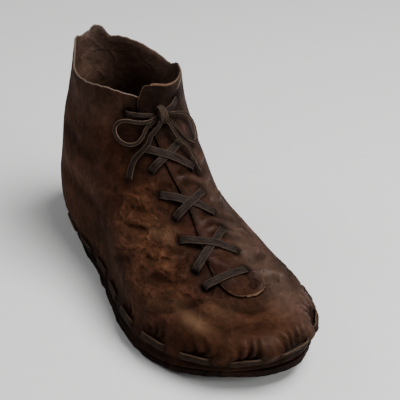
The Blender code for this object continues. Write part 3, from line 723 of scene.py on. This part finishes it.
# The inside follows the lowest of the outside nearby, so that no crease cuts through it
in_angles = np.repeat(hide_angles[None, :], len(inside_rows), axis=0)
in_levels = inside_rows[:, None] * hide_tops[None, :] / top_ring
in_relief = []
for row in inside_rows:
    reach = inside_reach if 0.0 < row < top_ring else 0.001
    in_relief.append(relief[np.abs(outside_rows - row) <= reach].min(axis=0))
wall = hide_thick + (hide_thick_at_collar - hide_thick) * ease((in_levels - 5.0) / 3.0)
inside = over_shoe(in_angles, in_levels, np.stack(in_relief) - wall)
inside[-1] = outside[0]
inside[-2, :, 2] = np.maximum(inside[-2, :, 2], outside[0, :, 2] + 1.0)

rim = []
rim_up = unit(outside[-1] - outside[-2])
for step in (0.17, 0.5, 0.83):
    swell = 0.55 * hide_thick_at_collar * math.sin(math.pi * step)
    rim.append(outside[-1] + (inside[0] - outside[-1]) * step + rim_up * swell)
marks = hide_marks(all_angles, all_levels, *looks)
for name, values in marks.items():
    plain = np.full((len(rim) + len(inside), len(hide_angles)), 1.0 if name in ("painted_light", "warmth") else 0.0)
    marks[name] = np.concatenate([values, plain])
upper = grid_piece("upper_hide", np.concatenate([outside, np.array(rim), inside]), marks)
for material in (hide_outside, hide_cut, hide_flesh):
    upper.data.materials.append(material)
rows_of_faces = face_rows(upper, len(hide_angles))
kinds = np.where(rows_of_faces < len(outside) - 1, 0, np.where(rows_of_faces < len(outside) + len(rim), 1, 2))
upper.data.polygons.foreach_set("material_index", kinds.astype(np.int32))
close_piece(upper)
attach(upper, "root")
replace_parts(upper, "upper")


# The flap: the inner side of the same hide, carried over the instep and left free along its outer edge.
# It ends in a round tongue over the vamp, and the lace passes through it and holds it down.
flap_cut = 1.7
flap_clear = 0.3
flap_curl = 0.5
flap_across = np.linspace(0.0, 1.0, 61)
flap_levels = np.concatenate([np.linspace(low, high, count, endpoint=high > 7.0) for low, high, count in (
    (3.78, 3.94, 16), (3.94, 4.06, 48), (4.06, 4.60, 34), (4.60, 7.99, 96))])
flap_free = flap_at("free_edge", flap_levels)[:, None]
flap_angles = flap_free + (flap_at("inner_edge", flap_levels)[:, None] - flap_free) * flap_across
flap_top = ((-20, 7.55), (-15, 7.86), (-11, 7.98), (-3, 7.95), (11, 7.84), (27, 7.83), (43, 7.92), (50, 7.90))
flap_level_grid = np.minimum(np.repeat(flap_levels[:, None], len(flap_across), axis=1),
                             row_curve(flap_top, flap_angles))
stand = np.stack([flap_height(angles, level) for angles, level in zip(flap_angles, flap_levels)])
flap_relief, *looks = hide_relief(flap_angles, flap_level_grid)
edge_lift = flap_curl * bell(flap_across, 0.12)[None, :] * np.ones_like(stand)
flap_places = over_shoe(flap_angles, flap_level_grid, flap_relief + stand + flap_clear + edge_lift)
flap = grid_piece("instep_flap", flap_places, hide_marks(flap_angles, flap_level_grid, *looks))
flap_edge = cut_edge("flap_cut_edge", (58, 41, 31), (112, 86, 66), 0.1, 0.0)
flap.data.materials.append(hide_outside)
flap.data.materials.append(flap_edge)
thicken = flap.modifiers.new("flap_thickness", "SOLIDIFY")
thicken.thickness = flap_cut * MM
thicken.offset = -1.0
thicken.material_offset_rim = 1
bpy.ops.object.modifier_apply(modifier=thicken.name)
close_piece(flap)
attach(flap, "root")
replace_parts(flap, "upper")


# The sole: a flat piece of thick hide cut to the foot, with a little spring at the toe and a dark, worn edge.
# The upper stands on it just inside the edge, and the thong is sewn through both.
sole_margin = 0.8
sole_reach = np.array((0.0, 0.25, 0.5, 0.72, 0.88, 0.95, 0.985))
edge_rows = ((0.995, 0.12), (1.0, 0.3), (1.0, 0.5), (1.0, 0.7), (0.995, 0.88))
sole_turn = np.radians(np.linspace(-180.0, 180.0, 361))
sole_share = (1.0 - np.cos(sole_turn)) / 2.0
sole_edge = ring_points("edge", np.linspace(-180.0, 180.0, 361))
sole_edge[:, 0] += sole_margin * np.sin(sole_turn)
sole_edge[:, 1] -= sole_margin * np.cos(sole_turn)
rough_spots = np.stack([sole_edge[:, 0], sole_edge[:, 1], 0 * sole_share], axis=-1)
rough_cut = 1.1 * lumps(rough_spots, 14.0, 11) + 0.6 * lumps(rough_spots, 5.0, 12)
sole_rows = []
for reach, down in [(r, 0.0) for r in sole_reach] + list(edge_rows) + [(r, 1.0) for r in sole_reach[::-1]]:
    row = sole_edge.copy()
    rough = rough_cut * reach**6
    row[:, 0] = shoe_axis + (sole_edge[:, 0] - shoe_axis) * reach + rough * np.sin(sole_turn)
    row[:, 1] = sole_edge[:, 1] - rough * np.cos(sole_turn)
    row[:, 2] = sole_lift(sole_share) + sole_thick * (1.0 - down)
    sole_rows.append(row)
sole = grid_piece("sole_hide", np.array(sole_rows), {})
sole_leather, tree, shader = new_material("sole_hide")
grain = add_node(tree, "ShaderNodeGroup", node_tree=hide_grain)
fill_inputs(tree, shader, {
    "Base Color": toned(tree, (18, 11, 9), (27, 16, 12), (37, 23, 17), (40, 19, 15)),
    "Normal": bumps(tree, grain.outputs["Height"], 0.9), "Roughness": 0.75, "Specular IOR Level": 0.04})
sole.data.materials.append(sole_leather)
close_piece(sole)
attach(sole, "root")
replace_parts(sole, "sole")


# The sole thong: a flat strip of dark hide about 5 mm wide, sewn through upper and sole in long running
# stitches. Only the outside runs show; each dives into the hide at its ends and pulls it into gathers.
thong_wide = 5.0
thong_thick = 1.6
stitch_dive = 4.0
strip_round = 20


def thong_strip(name, under, outward, wide, thick, material, dark_ends=(0.0, 0.0)):
    """Closed flat strip with rounded edges along a line on its underside, with painted shade over lengths at
    its ends.
    """
    along = unit(np.gradient(under, axis=0))
    side = unit(np.cross(along, outward))
    out = np.cross(side, along)
    phi = np.linspace(0.0, 2.0 * math.pi, strip_round + 1)
    flat = np.sign(np.cos(phi)) * np.abs(np.cos(phi)) ** 0.40
    high = np.sign(np.sin(phi)) * np.abs(np.sin(phi)) ** 0.55
    high[[0, -1]] = 0.0
    middle = under + out * thick / 2
    wide = np.broadcast_to(np.asarray(wide, float), len(under))
    rows = (middle[:, None, :] + side[:, None, :] * (flat[None, :, None] * wide[:, None, None] / 2)
            + out[:, None, :] * (high[None, :, None] * thick / 2))
    ends = [np.repeat(middle[k][None, :], strip_round + 1, axis=0)[None] for k in (0, -1)]
    rows = np.concatenate([ends[0], rows, ends[1]])
    # Paler cut edges, paler along the top than underneath as a painted highlight
    edge = ease((np.abs(flat) - 0.70) / 0.25) * np.where(high > -0.3, 1.0, 0.2)
    run = run_along(middle)
    # Painted shade over lengths at the ends, where the strip goes into the hide or meets the knot
    painted_end_shade = np.zeros(len(under))
    for length, away in zip(dark_ends, (run, run[-1] - run)):
        if length > 0.0:
            painted_end_shade = np.maximum(painted_end_shade, 1.0 - ease(away / length))
    painted_end_shade = np.concatenate([painted_end_shade[:1], painted_end_shade, painted_end_shade[-1:]])
    piece = grid_piece(name, rows, {"edge": np.repeat(edge[None, :], len(rows), axis=0),
                                    "painted_end_shade": np.repeat(painted_end_shade[:, None], strip_round + 1, axis=1)})
    layer = piece.data.uv_layers.active.data
    flat_uv = np.empty(len(layer) * 2, np.float32)
    layer.foreach_get("uv", flat_uv)
    flat_uv[1::2] *= run[-1] / 10.0
    layer.foreach_set("uv", flat_uv)
    piece.data.materials.append(material)
    close_piece(piece, 0.00001)
    return piece


# Shared effect: fibres along a cut thong, paler cut edges with a painted highlight along their tops, and
# painted shade at its ends
thong_names = ("Face", "Pale", "Edge")
thong_fibre, fibre_in, fibre_out = new_group(
    "thong fibre", [(name, "NodeSocketColor", (0.05, 0.04, 0.03, 1)) for name in thong_names],
    [("Color", "NodeSocketColor"), ("Height", "NodeSocketFloat")])
where = {"Vector": add_node(thong_fibre, "ShaderNodeUVMap").outputs["UV"], "Scale": (34.0, 2.2, 1.0)}
where = add_node(thong_fibre, "ShaderNodeMapping", where).outputs["Vector"]
streaks = mottle(thong_fibre, 1.0, 4.0, 0.6, 0.5, where)
colour = mix_colour(thong_fibre, "MIX", spread(thong_fibre, streaks, 0.32, 0.68), fibre_in.outputs["Face"],
                    fibre_in.outputs["Pale"])
rubbed_and_lit = calc(thong_fibre, "MULTIPLY", point_value(thong_fibre, "edge"),
              spread(thong_fibre, streaks, 0.3, 0.7, 0.12, 0.70))
colour = mix_colour(thong_fibre, "MIX", rubbed_and_lit, colour, fibre_in.outputs["Edge"])
painted_end_shade = calc(thong_fibre, "MULTIPLY", point_value(thong_fibre, "painted_end_shade"), 0.85)
colour = mix_colour(thong_fibre, "MIX", painted_end_shade, colour, srgb(9, 6, 5))
thong_fibre.links.new(colour, fibre_out.inputs["Color"])
thong_fibre.links.new(calc(thong_fibre, "MULTIPLY", streaks, 0.0006), fibre_out.inputs["Height"])


def thong_material(name, face, pale, edge, roughness):
    material, tree, shader = new_material(name)
    links = {label: srgb(*colour) for label, colour in zip(thong_names, (face, pale, edge))}
    group = add_node(tree, "ShaderNodeGroup", links, node_tree=thong_fibre)
    fill_inputs(tree, shader, {
        "Base Color": group.outputs["Color"], "Normal": bumps(tree, group.outputs["Height"], 0.8),
        "Roughness": roughness, "Specular IOR Level": 0.05})
    return material


sole_thong = thong_material("sole_thong", (26, 16, 11), (45, 31, 23), (110, 88, 70), 0.7)
for i in range(stitch_count):
    share = np.sin(np.linspace(-0.5, 0.5, 33) * math.pi)
    run = (i * stitch_spacing + share * (stitch_long / 2 + 1.0)) % thong_run[-1]
    angles = np.unwrap(np.interp(run, thong_run, thong_turn), period=360.0)
    levels = thong_level(angles)
    height = 0.60 * np.minimum(hide_relief(angles, levels)[0], 0.0) + 0.4
    height -= stitch_dive * ease((np.abs(share) - 0.88) / 0.12)
    under = over_shoe(angles, levels, height)
    # Painted shade over 7 mm at each end, where the stitch dives into the hide
    stitch = thong_strip(f"thong_stitch_{i + 1:02d}", under, shoe_outward(angles, levels), thong_wide,
                         thong_thick, sole_thong, (7.0, 7.0))
    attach(stitch, "root")
    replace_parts(stitch, f"sole_stitch_{i + 1:02d}")


# The lace over the instep: a flat thong over 5 mm wide, a single bar low down, three crossings and two top
# strands. It goes through holes on both sides of the flap's free edge, and one strand of each crossing rides
# over the other.
lace_wide = 5.4
lace_thick = 1.4
lace_clear = 0.4
lace_dive = 5.0
cross_lift = 1.3
top_lift = 0.8
lace_hide = thong_material("lace_hide", (26, 19, 17), (47, 37, 32), (98, 81, 69), 0.62)


def lace_height(angles, levels):
    """Underside of the lace: along the outer side, up over the flap's free edge, then along the flap."""
    ahead = ease((angles - flap_at("free_edge", levels) + 13.0) / 7.0)
    return lace_clear + ahead * (np.maximum(flap_height(angles, levels), 0.0) + 0.5)


def straight_run(start, end, t):
    """Angles and levels under a strand that is pulled straight between two holes."""
    angles = np.linspace(min(start[0], end[0]) - 4.0, max(start[0], end[0]) + 4.0, 121)
    levels = np.linspace(min(start[1], end[1]) - 0.14, max(start[1], end[1]) + 0.14, 121)
    angles, levels = (net.ravel() for net in np.meshgrid(angles, levels))
    out = shoe_outward((start[0] + end[0]) / 2, (start[1] + end[1]) / 2)
    flat = np.eye(3) - np.outer(out, out)
    first = shoe_surface(*start)
    line = first + np.outer(t, shoe_surface(*end) - first)
    away = np.linalg.norm(((shoe_surface(angles, levels) @ flat)[None] - (line @ flat)[:, None]), axis=-1)
    nearest = np.argmin(away, axis=1)
    return [np.polyval(np.polyfit(t, values[nearest], 4), t) for values in (angles, levels)]


def lace_strand(name, start, end, hump=0.0, dive=(True, True), wide=lace_wide):
    """A strand between two places, diving into its hole at the ends that have one."""
    t = 0.5 + 0.545 * np.sin(np.linspace(-0.5, 0.5, 57) * math.pi)
    angles, levels = straight_run(start, end, t)
    lie = np.polyval(np.polyfit(t, np.maximum(hide_relief(angles, levels)[0], -0.6), 5), t)
    heights = lace_height(angles, levels) + lie + hump * ease(1.0 - np.abs(t - 0.5) / 0.30)
    if dive[0]:
        heights -= lace_dive * ease((0.012 - t) / 0.05)
    if dive[1]:
        heights -= lace_dive * ease((t - 0.988) / 0.05)
    under = over_shoe(angles, levels, heights)
    # Painted shade at the ends: 10 mm where the strand dives into its hole, 3 mm at the knot
    dark_ends = [10.0 if down else 3.0 for down in dive]
    piece = thong_strip(name, under, shoe_outward(angles, levels), wide, lace_thick, lace_hide, dark_ends)
    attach(piece, "root")
    return piece


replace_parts(lace_strand("instep_bar", bar_holes[0], bar_holes[1]), "lace_bar")
for node, (rising, falling, rising_on_top) in cross_holes.items():
    for which, holes, on_top in (("rising", rising, rising_on_top), ("falling", falling, not rising_on_top)):
        strand = lace_strand(f"{node}_{which}", holes[0], holes[1], cross_lift if on_top else 0.0)
        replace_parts(strand, node)

for node, hole, wide in (("lace_top_outer", top_holes[0], 3.0), ("lace_top_inner", top_holes[1], 4.4)):
    near_knot = (knot_at[0] + (5.0 if hole[0] > knot_at[0] else -5.0), knot_at[1])
    strand = lace_strand(node + "_strand", hole, near_knot, top_lift, (True, False), wide)
    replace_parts(strand, node)


# The bow: the lace's two ends tied over the top of the flap, with two loops and two free ends on the hide.
# The same thong as the lace, narrower where it is drawn tight, and wrapped twice round the middle as a knot.
bow_wide = {"lace_loop_outer": (2.5, 2.5), "lace_loop_inner": (2.0, 2.0),
            "lace_end_outer": (2.6, 4.4), "lace_end_inner": (2.1, 2.4)}
bow_thick = 1.5
# The bow's thong in painted copies: the outer free end darker as painted shade, the loops and inner end with
# painted highlights on their edges, the knot lighter as painted light
bow_hide = thong_material("bow_hide", (20, 14, 12), (37, 28, 23), (112, 92, 75), 0.7)
lit_edge_loop_hide = thong_material("lit_edge_loop_hide", (24, 17, 14), (48, 37, 31), (158, 131, 110), 0.7)
lit_knot_hide = thong_material("lit_knot_hide", (32, 24, 19), (66, 52, 42), (120, 99, 82), 0.7)
knot_middle = over_shoe(knot_at[0], knot_at[1], flap_thick + 4.4)
knot_half = np.array((4.0, 4.0, 5.25))
knot_core = (3.2, 3.2, 4.4)
wrap_wide = 2.9


def beside_knot(towards):
    """Point on the knot's surface on the way to another point."""
    way = unit(towards - knot_middle)
    return knot_middle + way / np.linalg.norm(way / knot_half) * 0.8


bow_outward = shoe_outward(knot_at[0], knot_at[1])
bow_up = unit(shoe_surface(knot_at[0], knot_at[1] + 0.1) - shoe_surface(knot_at[0], knot_at[1] - 0.1))
bow_side = np.cross(bow_up, bow_outward)

wraps = []
for lean, shift, size in ((0.10, -1.1, 0.96), (-0.12, 1.2, 1.0)):
    phi = np.linspace(0.0, 2.0 * math.pi, 49)
    ring = (knot_middle + bow_side * shift
            + np.outer(np.cos(phi) * 5.0 * size, bow_up + bow_side * lean)
            + np.outer(np.sin(phi) * 3.6 * size, bow_outward))
    facing = np.outer(np.cos(phi), bow_up) + np.outer(np.sin(phi), bow_outward)
    wraps.append(thong_strip(f"knot_wrap_{len(wraps)}", ring, facing, wrap_wide, bow_thick, lit_knot_hide))
bpy.ops.mesh.primitive_uv_sphere_add(segments=32, ring_count=16, radius=1.0)
core = bpy.context.object
spots = np.array([vertex.co for vertex in core.data.vertices])
spots = spots * knot_core * (1.0 + 0.12 * lumps(spots, 0.6, 12))[:, None]
spots = knot_middle + spots @ np.stack([bow_side, bow_outward, bow_up])
core.data.vertices.foreach_set("co", (spots * MM).ravel())
core.data.materials.append(lit_knot_hide)
core.data.attributes.new("edge", "FLOAT", "POINT")
core.data.attributes.new("painted_end_shade", "FLOAT", "POINT")
close_piece(core)
for piece in wraps:
    piece.select_set(True)
core.select_set(True)
bpy.context.view_layer.objects.active = core
bpy.ops.object.join()
core.name = "bow_knot"
core.data.name = "bow_knot"
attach(core, "root")
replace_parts(core, "lace_knot")
bpy.ops.object.select_all(action="DESELECT")

for node, route in bow_routes.items():
    rows = np.array(route, float)
    marks = over_shoe(rows[:, 0], rows[:, 1], rows[:, 2] - bow_thick / 2)
    back = [beside_knot(marks[-1])] if "loop" in node else []
    marks = np.array([beside_knot(marks[0]), *marks, *back])
    run = run_along(marks)
    even = np.linspace(0.0, run[-1], 61)
    under = smooth_through(run, marks, even)
    turn = np.concatenate([[knot_at[0]], rows[:, 0], [knot_at[0]] * len(back)])
    rise = np.concatenate([[knot_at[1]], rows[:, 1], [knot_at[1]] * len(back)])
    facing = shoe_outward(np.interp(even, run, turn), np.interp(even, run, rise))
    wide = np.linspace(*bow_wide[node], len(under))
    hide = bow_hide if node == "lace_end_outer" else lit_edge_loop_hide
    # Painted shade over 6 mm where the strip leaves the knot, and where a loop comes back to it
    piece = thong_strip(node.replace("lace", "bow"), under, facing, wide, bow_thick, hide,
                        (6.0, 6.0 * len(back)))
    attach(piece, "root")
    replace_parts(piece, node)


# The floor: a plain pale studio floor that the shoe stands on, not part of the object.
# Soft light comes from large panels, the strongest above and in front, and a pale room fills the shadows.
bpy.ops.mesh.primitive_plane_add(size=9.0, location=(0.0, 0.0, -0.0004))
floor = bpy.context.object
floor.name = "studio_floor"
pale, tree, shader = new_material("pale_floor")
shader.inputs["Base Color"].default_value = (0.82, 0.82, 0.81, 1.0)
shader.inputs["Roughness"].default_value = 0.9
floor.data.materials.append(pale)

room = bpy.data.worlds.new("pale_room")
room.use_nodes = True
sky = room.node_tree.nodes["Background"]
sky.inputs["Color"].default_value = (0.92, 0.93, 0.95, 1.0)
seen = add_node(room.node_tree, "ShaderNodeLightPath").outputs["Is Camera Ray"]
room.node_tree.links.new(spread(room.node_tree, seen, 0.0, 1.0, 0.14, 0.75), sky.inputs["Strength"])
bpy.context.scene.world = room
for name, place, aim, size, power in (
        ("panel_above", (0.40, -0.35, 1.25), (0.0, -0.02, 0.05), 0.8, 25.0),
        ("panel_front", (0.35, -1.20, 0.75), (0.0, -0.02, 0.05), 0.6, 7.0),
        ("panel_back", (-0.8, 0.8, 1.0), (0.0, 0.0, 0.08), 0.8, 5.0)):
    lamp = bpy.data.lights.new(name, "AREA")
    lamp.shape = "DISK"
    lamp.size = size
    lamp.energy = power
    panel = bpy.data.objects.new(name, lamp)
    bpy.context.collection.objects.link(panel)
    panel.location = place
    panel.rotation_euler = (Vector(aim) - Vector(place)).to_track_quat("-Z", "Y").to_euler()

# The camera stands where the photograph was taken from, turned to put the one shoe in the middle of the frame
lens = bpy.data.cameras.new("photo_camera")
lens.sensor_width = 36.0
lens.lens = 97.2
camera = bpy.data.objects.new("photo_camera", lens)
bpy.context.collection.objects.link(camera)
camera.location = (-0.3162, -0.5395, 0.4553)
looked_at = Vector((0.022, -0.008, 0.062))
camera.rotation_euler = (looked_at - camera.location).to_track_quat("-Z", "Y").to_euler()
bpy.context.scene.camera = camera
